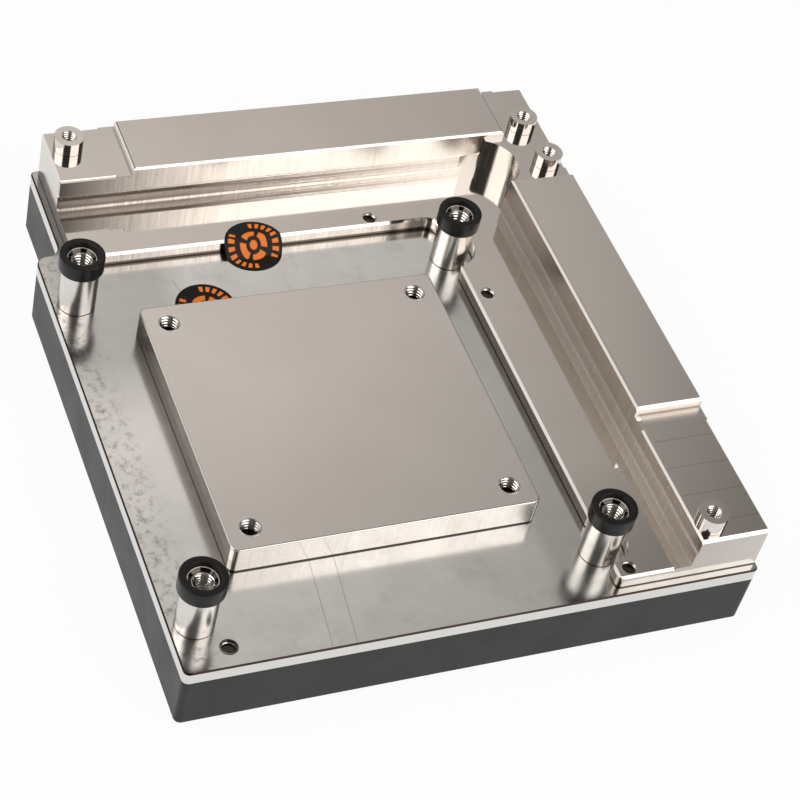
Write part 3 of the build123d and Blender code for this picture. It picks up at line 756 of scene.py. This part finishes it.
# Floor and light
def make_floor():
    """A pale floor that keeps the object's shadow, and that the camera and mirrors see nearly white."""
    reach = 6.0
    level = -0.0001
    glow_share = 0.95
    mesh = bpy.data.meshes.new("floor")
    corners = [(-reach, -reach), (reach, -reach), (reach, reach), (-reach, reach)]
    mesh.from_pydata([(x, y, level) for x, y in corners], [], [(0, 1, 2, 3)])
    floor = bpy.data.objects.new("floor", mesh)
    bpy.context.scene.collection.objects.link(floor)
    material = bpy.data.materials.new("floor_white")
    material.use_nodes = True
    n = Nodes(material.node_tree)
    bsdf = n.nodes["Principled BSDF"]
    bsdf.inputs["Base Color"].default_value = (0.9, 0.9, 0.9, 1)
    bsdf.inputs["Roughness"].default_value = 0.9
    bsdf.inputs["Specular IOR Level"].default_value = 0.0
    glow = n.nodes.new("ShaderNodeEmission")
    glow.inputs["Color"].default_value = (1, 1, 1, 1)
    glow.inputs["Strength"].default_value = 1.0
    rays = n.nodes.new("ShaderNodeLightPath").outputs
    seen = n.most(rays["Is Camera Ray"], rays["Is Glossy Ray"], rays["Is Transmission Ray"])
    mixed = n.mix_shaders(n.times(seen, glow_share), bsdf.outputs[0], glow.outputs[0])
    n.links.new(mixed, n.nodes["Material Output"].inputs["Surface"])
    mesh.materials.append(material)


def aim(azimuth, elevation):
    """A direction, with azimuth counted from +Y towards +X."""
    turn, rise = math.radians(azimuth), math.radians(elevation)
    return Vector((math.sin(turn) * math.cos(rise), math.cos(turn) * math.cos(rise), math.sin(rise)))


def glow_around(n, direction, towards, stops):
    """A warm grey that falls with the angle from one direction, given at some cosines."""
    share = n.vector("DOT_PRODUCT", direction, towards)
    return n.steps(share, [(cosine, (level * 1.055, level, level * 0.945)) for cosine, level in stops])


def make_world():
    """White for the camera alone. The metal mirrors, and is lit by, a dim room with soft glows."""
    world = bpy.data.worlds.new("studio")
    bpy.context.scene.world = world
    world.use_nodes = True
    n = Nodes(world.node_tree)
    n.nodes.clear()
    output = n.nodes.new("ShaderNodeOutputWorld")
    white = n.nodes.new("ShaderNodeBackground")
    white.inputs["Color"].default_value = (1, 1, 1, 1)
    room = n.nodes.new("ShaderNodeBackground")
    direction = n.nodes.new("ShaderNodeTexCoord").outputs["Generated"]
    rise = n.split(direction)[2]
    overhead = glow_around(n, direction, aim(16, 46), [
        (0.0, 0.045), (0.60, 0.05), (0.80, 0.08), (0.88, 0.12), (0.92, 0.18), (0.94, 0.26),
        (0.951, 0.37), (0.962, 0.49), (0.974, 0.58), (0.985, 0.65), (1.0, 0.79),
    ])
    left_high = glow_around(n, direction, aim(318, 44), [(0.90, 0.0), (0.97, 0.34), (1.0, 0.40)])
    zenith = glow_around(n, direction, aim(0, 90), [(0.90, 0.0), (0.955, 0.42), (1.0, 0.50)])
    low_ring = n.between(rise, 0.49, 0.63, 0.36, 0.0, smooth=True)
    sky = overhead
    for glow in (left_high, zenith, low_ring):
        sky = n.colours(1.0, sky, glow, "LIGHTEN")
    horizon = n.between(rise, 0.04, 0.14, 1.0, 0.0, smooth=True)
    n.links.new(n.colours(horizon, sky, (0.6, 0.6, 0.6)), room.inputs["Color"])
    to_camera = n.nodes.new("ShaderNodeLightPath").outputs["Is Camera Ray"]
    n.links.new(n.mix_shaders(to_camera, room.outputs[0], white.outputs[0]), output.inputs["Surface"])


WARM_WHITE = (1.02, 1.0, 0.98)


def soft_lamp(name, centre, target, width, height, radiance):
    """A rectangular softbox that lights the object and that its metal mirrors, unseen by the camera."""
    lamp = bpy.data.lights.new(name, "AREA")
    lamp.shape = "RECTANGLE"
    lamp.size = width
    lamp.size_y = height
    lamp.energy = radiance * width * height * math.pi
    lamp.color = WARM_WHITE
    item = bpy.data.objects.new(name, lamp)
    bpy.context.scene.collection.objects.link(item)
    item.location = centre
    item.rotation_euler = (Vector(target) - Vector(centre)).to_track_quat("-Z", "Y").to_euler()
    item.visible_camera = False


make_floor()
make_world()
soft_lamp(
    "near_right_softbox", centre=(0.318, -0.379, 0.373), target=(0, 0, 0),
    width=0.64, height=0.50, radiance=2.2,
)
soft_lamp(
    "left_softbox", centre=(-0.364, 0.03, 0.38), target=(0, 0.03, 0.0),
    width=0.44, height=0.26, radiance=2.6,
)
soft_lamp(
    "far_left_softbox", centre=(-0.405, 0.294, 0.255), target=(0, 0, 0.255),
    width=0.64, height=0.33, radiance=0.8,
)
bpy.context.scene.view_settings.view_transform = "Standard"
